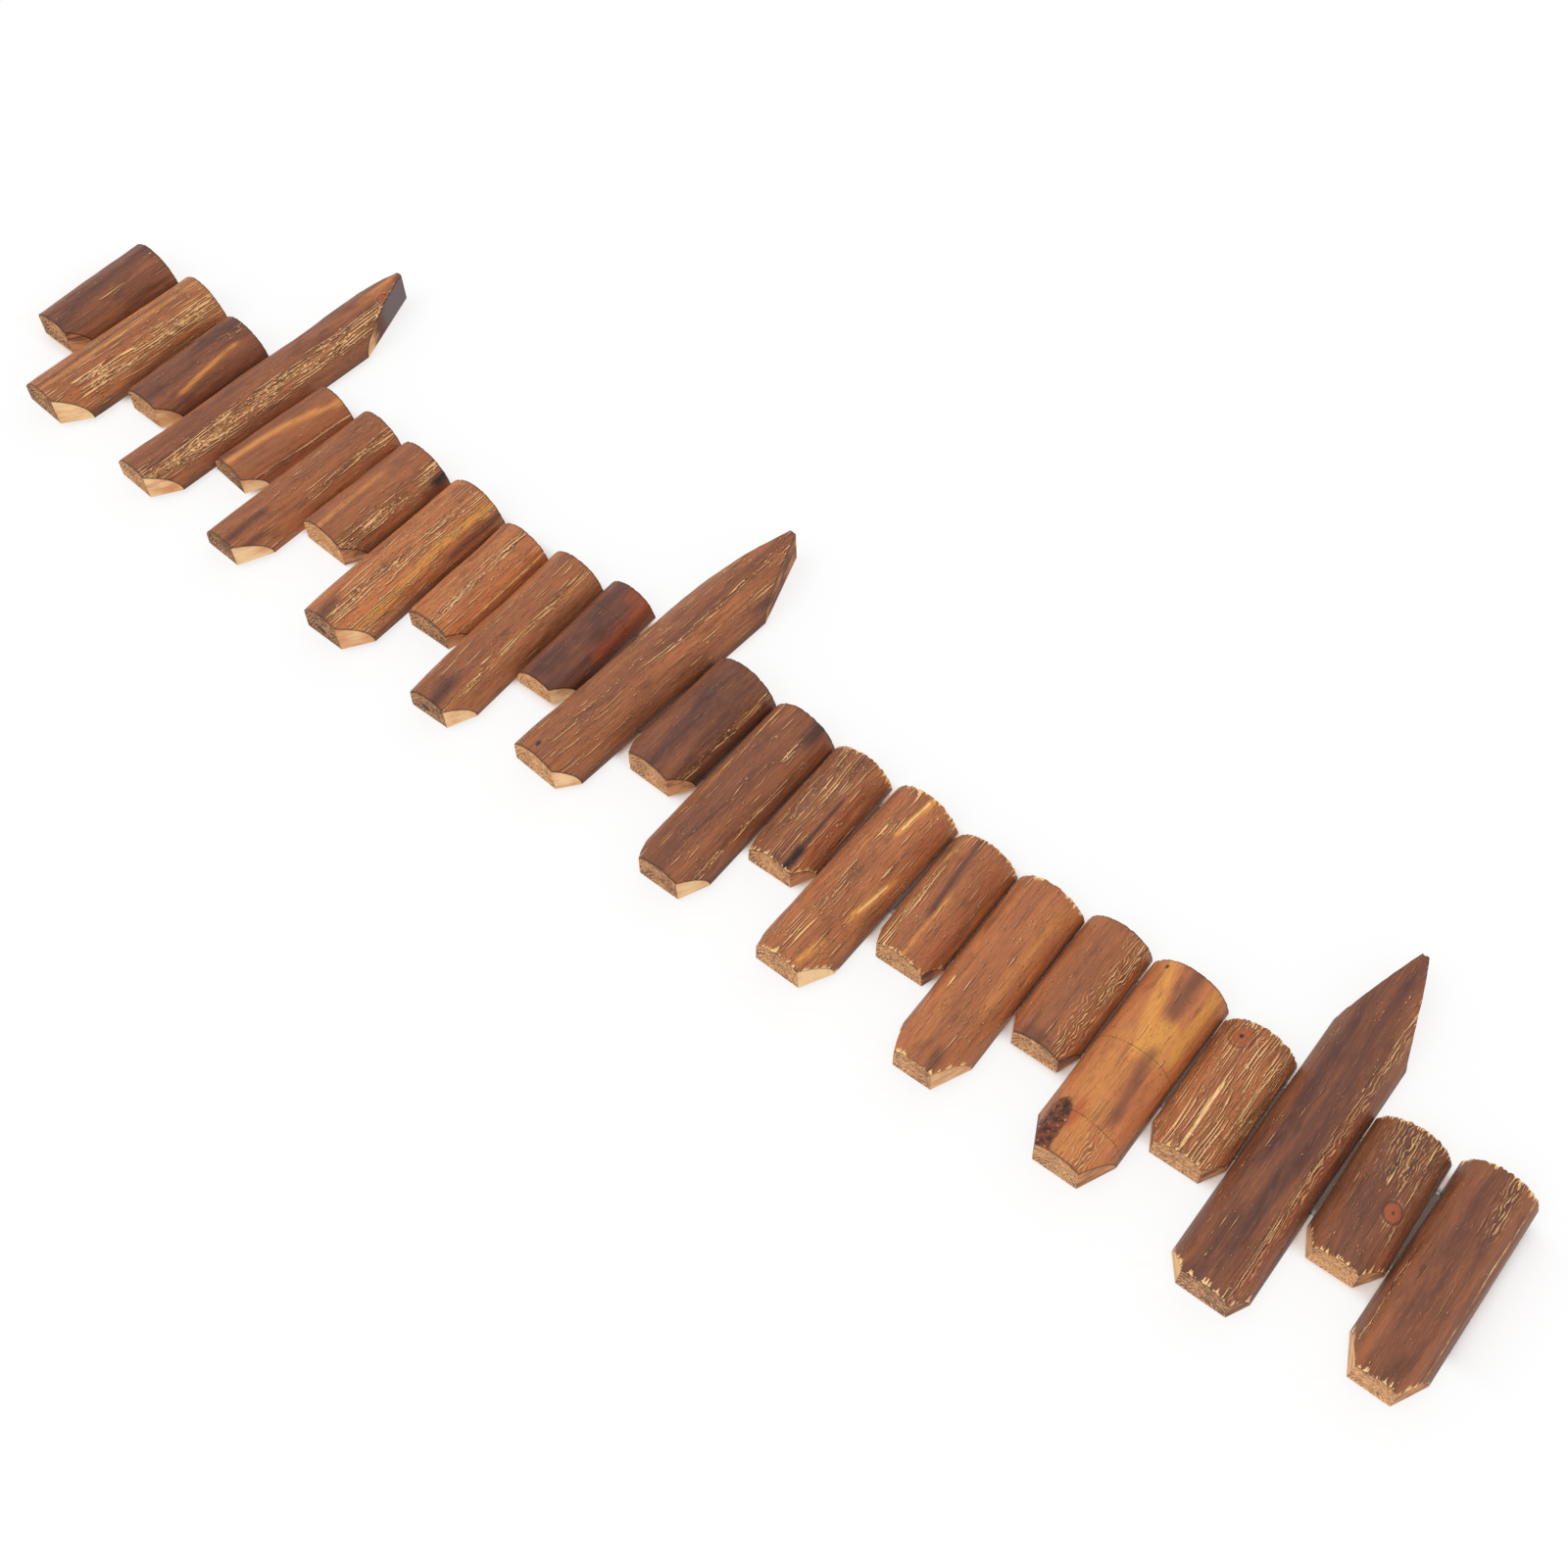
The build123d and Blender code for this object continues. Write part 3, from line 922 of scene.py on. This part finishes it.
def paint_log(mesh, outline, look):
    """Writes the marks of one log into the layers of its vertices."""
    grain, ends = read_vectors(mesh, "grain"), read_vectors(mesh, "ends")
    length = outline.top - outline.foot
    turn = np.degrees(grain[:, 0] * MM / ((outline.half + outline.bulge) / 2))
    share = (grain[:, 1] * MM - outline.foot) / length
    cracks = [(outline.foot + crack * length) / MM for crack in look.cracks] + 2 * [FAR_AWAY]
    point = (outline.far_cut > HAIR) & (share < 0.5)
    flat_knot = look.knot and look.knot[3] < KNOT_TOP
    even = dict(tone=look.tone, flecks=look.flecks, knot=ends[:, 2] if flat_knot else 0,
                first_crack=cracks[0], second_crack=cracks[1],
                fray=np.where(point, 0, look.fray))
    painted = {name: np.zeros(len(turn)) + even.get(name, 0)
               for names in LAYERS.values() for name in names}
    for stroke in look.strokes:
        shape = stroke_shape(turn, share, stroke)
        painted[stroke.what] = np.maximum(painted[stroke.what], shape)
    for layer, names in LAYERS.items():
        values = np.stack([painted[name] for name in names], axis=1).astype(np.float32)
        attribute = mesh.attributes.new(layer, "FLOAT_COLOR", "POINT")
        attribute.data.foreach_set("color", values.ravel())


print("layers to paint:", ", ".join(LAYERS))

# %% [markdown]
# ### Toast the sawn faces
# A clipped corner and the sawn end beside it share the vertices of their crease, so a number at
# the vertices would run from one into the other. How fresh a cut is, and how charred, is
# therefore written face by face, and the crease stays sharp.

# %% Toast the sawn faces
FOOT_FRESH = 0.6            # how fresh a sawn foot is beside the sawn top
SCORCH_EDGE = 0.6           # share of a cut over which its char ends


def read_whole(items, name, count):
    values = np.zeros(count, np.int32)
    items.foreach_get(name, values)
    return values


def toast_cuts(mesh, outline, look):
    """Writes how fresh every sawn face is, its dark heart, and how charred it is."""
    first = read_whole(mesh.polygons, "loop_start", len(mesh.polygons))
    corners = read_whole(mesh.loops, "vertex_index", len(mesh.loops))
    kind = read_whole(mesh.attributes["kind"].data, "value", len(first))
    sides = np.add.reduceat(np.ones(len(corners)), first)

    def by_face(values):
        return np.add.reduceat(values[corners], first) / sides

    ends, along = read_vectors(mesh, "ends"), read_vectors(mesh, "grain")[:, 1] * MM
    at_top = by_face(ends[:, 0] - ends[:, 1]) < 0
    tip_middle = (outline.tip_near + outline.tip_far) / 2 / MM
    near = by_face(read_vectors(mesh, "section")[:, 0]) > np.where(at_top, 0, tip_middle)
    clip = np.where(at_top, np.where(near, look.near, look.far), look.point)
    end = np.where(at_top, look.end, FOOT_FRESH * look.end)
    values = np.zeros((len(first), 3), np.float32)
    values[:, 0] = np.where(kind == CUT, clip, end)
    values[:, 1] = look.pith * at_top
    if look.scorched:
        up_the_cut = by_face(along - outline.foot) / outline.far_cut
        charred = ((look.scorched - up_the_cut) / SCORCH_EDGE + 0.5).clip(0, 1)
        values[:, 2] = charred * (~near | (kind == END)) * ~at_top
    attribute = mesh.attributes.new("sawn", "FLOAT_VECTOR", "FACE")
    attribute.data.foreach_set("vector", values.ravel())


print(sum(look.scorched > 0 for look in LOOKS.values()), "log has a charred cut")

# %% [markdown]
# ## Make the logs
# Every log is the one tree with its own sizes. A modifier could stay on each, but then the layers
# would have no vertices to sit on, so each result is turned into a plain mesh and painted.

# %% Make the logs
SHARP = math.radians(40)
ROW = 1.2 * MM              # length of a cell along a log
NO_KNOT = (0, 0, 1, 0)      # a knot with no height


def made_by(tree, name, sizes, points=()):
    """A plain mesh from a tree and its sizes."""
    start = bpy.data.meshes.new(name + "_nodes")
    start.from_pydata(points, [], [])
    holder = add_object(name + "_nodes", start)
    modifier = holder.modifiers.new("nodes", "NODES")
    modifier.node_group = tree
    for item in tree.interface.items_tree:
        if item.in_out == "INPUT" and item.name in sizes:
            number = int if item.socket_type == "NodeSocketInt" else float
            modifier[item.identifier] = number(sizes[item.name])
    evaluated = holder.evaluated_get(bpy.context.evaluated_depsgraph_get())
    mesh = bpy.data.meshes.new_from_object(evaluated)
    bpy.data.objects.remove(holder)
    mesh.name = name
    mesh.set_sharp_from_angle(angle=SHARP)
    return mesh


def put(name, mesh, node):
    """A finished piece, in place of a node of the packed model."""
    piece = add_object(name, mesh)
    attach(piece, "root")
    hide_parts(node)


triangles = 0
for node in log_nodes:
    place = place_of(node)
    name, outline, look = f"log_{place:02d}", outlines[place], LOOKS[place]
    length = outline.top - outline.foot
    knot_turn, knot_share, knot_radius, knot_height = look.knot or NO_KNOT
    detail = Detail(
        rows=round(length / ROW), seed=place, fray=look.fray,
        knot_turn=math.radians(knot_turn), knot_along=outline.foot + knot_share * length,
        knot_radius=knot_radius * MM, knot_height=knot_height * MM)
    mesh = made_by(log_tree, name, {**outline._asdict(), **detail._asdict()})
    paint_log(mesh, outline, look)
    toast_cuts(mesh, outline, look)
    put(name, mesh, node)
    triangles += sum(len(face.vertices) - 2 for face in mesh.polygons)
print("logs:", triangles, "triangles")

# %% [markdown]
# ## Galvanised wire
# The wires and staples are steel that was dipped in zinc, which dries to a dull grey skin with
# faint crystals. Plain metal would look like chrome, so noise clouds both its grey and its
# gloss. The pieces are so thin that object coordinates serve as well as their own.

# %% Galvanised wire
ZINC, ZINC_DULL = colour(158, 160, 162), colour(118, 120, 122)
CRYSTAL = Vector((3, 1, 1)) * MM
ZINC_RELIEF = 0.1 * MM

zinc, nodes = new_material("galvanised_wire")
spot = nodes.parts(nodes.add("ShaderNodeTexCoord").of("Object"))
spangle = nodes.noise(*(part / size for part, size in zip(spot, CRYSTAL)), detail=3)
grey = nodes.mix(spangle.rise(0.3, 0.7), ZINC_DULL, ZINC)
close_material(nodes, grey, 0.38 + spangle * 0.25, spangle, ZINC_RELIEF, metallic=0.85)
print("zinc:", len(nodes), "nodes")

# %% [markdown]
# ## Wires
# Two soft wires hold the row together, so that it can be bent round a bed. A wire comes off a
# coil and never lies quite straight: noise moves its middle line a little up and down. A tube
# along that line is simpler to keep clean than a bent cylinder.

# %% The wire tree
WIRE_POINTS, WIRE_SIDES = 300, 14
SWAY, SWAY_LENGTH = 1.6 * MM, 60 * MM

nodes, size = new_tree("wire", "Wire", ("start", "end", "y", "z", "radius", "sway", "seed"))
wire_tree = nodes.tree
line = nodes.add("GeometryNodeCurvePrimitiveLine", sockets={
    "Start": nodes.vector(size.start, size.y, size.z),
    "End": nodes.vector(size.end, size.y, size.z)})
line = nodes.add("GeometryNodeResampleCurve", sockets={"Curve": line, "Count": WIRE_POINTS})
x = nodes.parts(nodes.add("GeometryNodeInputPosition"))[0]
wave = nodes.noise(x / SWAY_LENGTH, size.seed, 0.0)
line = then(nodes, line, "SetPosition", Offset=nodes.vector(0.0, 0.0, (wave - 0.5) * size.sway))
section = nodes.add("GeometryNodeCurvePrimitiveCircle", sockets={
    "Resolution": WIRE_SIDES, "Radius": size.radius})
made = nodes.add("GeometryNodeCurveToMesh", sockets={
    "Curve": line, "Profile Curve": section, "Fill Caps": True})
made = then(nodes, made, "SetShadeSmooth")
made = then(nodes, made, "RealizeInstances")
made = then(nodes, made, "SetMaterial", Material=zinc)
nodes.add("NodeGroupOutput", sockets={"Wire": made})
print("wire tree:", len(nodes), "nodes")

# %% Make the wires
def box_of(node):
    points = np.array([v.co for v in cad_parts[node].data.vertices])
    return points.min(0), points.max(0)


for seed, node in ((0, "lower_wire"), (3, "upper_wire")):
    (x0, y0, z0), (x1, y1, z1) = box_of(node)
    sizes = dict(start=x0, end=x1, y=(y0 + y1) / 2, z=(z0 + z1) / 2, radius=(y1 - y0) / 2,
                 sway=SWAY, seed=seed)
    mesh = made_by(wire_tree, node + "_line", sizes)
    put(node + "_line", mesh, node)
    print(node, round((x1 - x0) / MM), "mm long,", len(mesh.polygons), "faces")

# %% [markdown]
# ## Staples
# A staple gun drove one staple over the wire on every log. Each is a square wire bent at two
# corners, so it is drawn as a line of four points with rounded corners, swept by a rounded
# square, and set on points that are read from the solids. No two shots land alike, so each is
# turned a little.

# %% The staple tree
BEND_ROUND, EDGE_ROUND = 0.9, 0.2       # shares of a staple's thickness
BEND_CELLS, EDGE_CELLS = 5, 3
TURN_EVERY = 11 * MM                    # over which one staple's turn differs from the next

nodes, size = new_tree("staples", "Staples", ("points", "thick", "reach", "span", "turn"))
staple_tree = nodes.tree


def rounded(curve, cells, radius):
    return nodes.add("GeometryNodeFilletCurve", {"mode": "POLY"}, {
        "Curve": curve, "Count": cells, "Radius": radius, "Limit Radius": True})


corner = nodes.add("GeometryNodeInputIndex")
on_crown = 1 - abs(corner - 1.5).over(1)
upper_leg = corner.over(1.5) - 0.5
line = nodes.add("GeometryNodeMeshLine", sockets={"Count": 4})
line = then(nodes, line, "SetPosition", Position=nodes.vector(
    0.0, on_crown * (size.reach - size.thick / 2), upper_leg * (size.span - size.thick)))
line = nodes.add("GeometryNodeMeshToCurve", sockets={"Mesh": line})
square = nodes.add("GeometryNodeCurvePrimitiveQuadrilateral", sockets={
    "Width": size.thick, "Height": size.thick})
staple = nodes.add("GeometryNodeCurveToMesh", sockets={
    "Curve": rounded(line, BEND_CELLS, size.thick * BEND_ROUND),
    "Profile Curve": rounded(square, EDGE_CELLS, size.thick * EDGE_ROUND), "Fill Caps": True})
x = nodes.parts(nodes.add("GeometryNodeInputPosition"))[0]
chance = nodes.noise(x / TURN_EVERY, 0.5, 0.5, detail=0)
made = nodes.add("GeometryNodeInstanceOnPoints", sockets={
    "Points": size.points, "Instance": staple,
    "Rotation": nodes.vector(0.0, (chance - 0.5) * size.turn, 0.0)})
made = then(nodes, made, "RealizeInstances")
made = then(nodes, made, "SetMaterial", Material=zinc)
nodes.add("NodeGroupOutput", sockets={"Staples": made})
print("staple tree:", len(nodes), "nodes")

# %% Make the staples
STAPLE_TURN = math.radians(14)      # between the most turned ones
APART = 5 * MM                      # two staples are further apart than this


def middles(node):
    """x of the middle of every staple of a node, and how thick one is."""
    xs = np.unique(np.round([v.co.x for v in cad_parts[node].data.vertices], 6))
    runs = np.split(xs, np.where(np.diff(xs) > APART)[0] + 1)
    return [float(run.mean()) for run in runs], np.ptp(runs[0])


for node in ("lower_staples", "upper_staples"):
    (_, y0, z0), (_, y1, z1) = box_of(node)
    places, thick = middles(node)
    sizes = dict(thick=thick, reach=y1 - y0, span=z1 - z0, turn=STAPLE_TURN)
    points = [(x, float(y0), float(z0 + z1) / 2) for x in places]
    mesh = made_by(staple_tree, node + "_row", sizes, points)
    put(node + "_row", mesh, node)
    print(node, len(places), "of them,", len(mesh.polygons), "faces")

# %% [markdown]
# ## Stage
# The surface that the edging was laid on is a white sheet just behind the backs. It is seen by
# the camera only, and only from its front, so that the backs can be looked at too. A sheet that
# is only lit would come out grey, so it glows, except under the row, where it has to take the
# logs' shadow. Between the logs hardly any light reaches it, and there its colour is painted
# grey as well, a painted shadow that keeps the gaps dark.

# %% Stage
SHEET_BEHIND, SHEET_SIZE = 0.5 * MM, 12.0       # the backs, and across it, in metres
SHEET_GLOW = 0.75           # share of its white that is its own
WHITE, GAP_SHADE = (1, 1, 1, 1), (0.26, 0.24, 0.23, 1)
GAP_LOW, GAP_HIGH = 8 * MM, 70 * MM     # heights between which gaps show the sheet
GAP_INSET = 30 * MM                     # from the ends of the row to the first gap
ROW_LOW, ROW_HIGH = -8 * MM, 98 * MM


def between(value, start, end, fade):
    """1 between start and end, fading to 0 at both."""
    return value.rise(start, start + fade) * (1 - value.rise(end - fade, end))


def mix_shader(share, first, second):
    return nodes.add("ShaderNodeMixShader", sockets={
        "Fac": share, "Shader": first, "Shader_001": second})


white_sheet, nodes = new_material("white_sheet")
x, _, z = nodes.parts(nodes.add("ShaderNodeTexCoord").of("Object"))
# in the gaps between the logs the sheet's colour is painted grey, a painted shadow
in_gaps = (between(z, GAP_LOW, GAP_HIGH, 6 * MM)
           * between(x, cad_low.x + GAP_INSET, cad_high.x - GAP_INSET, 10 * MM))
under_row = between(z, ROW_LOW, ROW_HIGH, 12 * MM)
lit = mix_shader(in_gaps, *(nodes.add("ShaderNodeBsdfDiffuse", sockets={"Color": tint})
                            for tint in (WHITE, GAP_SHADE)))
glow = nodes.add("ShaderNodeEmission", sockets={"Color": WHITE, "Strength": 1.0})
front = mix_shader(SHEET_GLOW - under_row * SHEET_GLOW, lit, glow)
behind = nodes.add("ShaderNodeNewGeometry").of("Backfacing")
shader = mix_shader(behind, front, nodes.add("ShaderNodeBsdfTransparent"))
nodes.add("ShaderNodeOutputMaterial", sockets={"Surface": shader})

edge, y = SHEET_SIZE / 2, cad_high.y + SHEET_BEHIND
corners = [(-edge, y, -edge), (edge, y, -edge), (edge, y, edge), (-edge, y, edge)]
sheet_mesh = bpy.data.meshes.new("sheet")
sheet_mesh.from_pydata(corners, [], [(0, 1, 2, 3)])
sheet_mesh.materials.append(white_sheet)
sheet = add_object("sheet", sheet_mesh)
for ray in ("diffuse", "glossy", "transmission", "shadow"):
    setattr(sheet, "visible_" + ray, False)
print("sheet normal", tuple(round(part) for part in sheet_mesh.polygons[0].normal))

# %% [markdown]
# ## Light
# The photograph has the soft, even light of a studio, a little stronger over the tops. A white
# world gives the even part. Only the camera and what it sees in metal get the world at full
# white, so that the background is white without more light on the logs. A wide sun from the
# front and above gives the rest, and a large disk behind the row shows the backs.

# %% Light
WORLD_LIGHT = 0.74
SUN_LIGHT, SUN_SPREAD, SUN_WAY = 1.0, math.radians(50), Vector((-0.12, 0.8, -0.4))
DISK_WATTS, DISK_SIZE, DISK_AWAY, DISK_AT = 60, 2.5, 4.0, Vector((-0.3, 1.0, 0.6))

world = bpy.data.worlds.new("studio")
world.use_nodes = True
bpy.context.scene.world = world
nodes = Nodes(world.node_tree)
path = nodes.add("ShaderNodeLightPath")
seen = path.of("Is Camera Ray").larger(path.of("Is Glossy Ray"))
seen = seen.larger(path.of("Is Transmission Ray"))
sky = nodes.add("ShaderNodeBackground", sockets={
    "Color": WHITE, "Strength": WORLD_LIGHT + seen * (1 - WORLD_LIGHT)})
nodes.add("ShaderNodeOutputWorld", sockets={"Surface": sky})

disk_data = bpy.data.lights.new("back", "AREA")
disk_data.shape, disk_data.size, disk_data.energy = "DISK", DISK_SIZE, DISK_WATTS
disk = add_object("back", disk_data)
to_disk = DISK_AT.normalized() * DISK_AWAY
disk.location = (cad_low + cad_high) / 2 + to_disk
aim(disk, -to_disk)
sun_data = bpy.data.lights.new("key", "SUN")
sun_data.energy, sun_data.angle = SUN_LIGHT, SUN_SPREAD
aim(add_object("key", sun_data), SUN_WAY)
bpy.context.scene.view_settings.view_transform = "Standard"
print("a white world at", WORLD_LIGHT, "with a sun and a disk of", DISK_WATTS, "W")

# %% [markdown]
# ## Sizes
# Dressing the solids must not change the object's size.
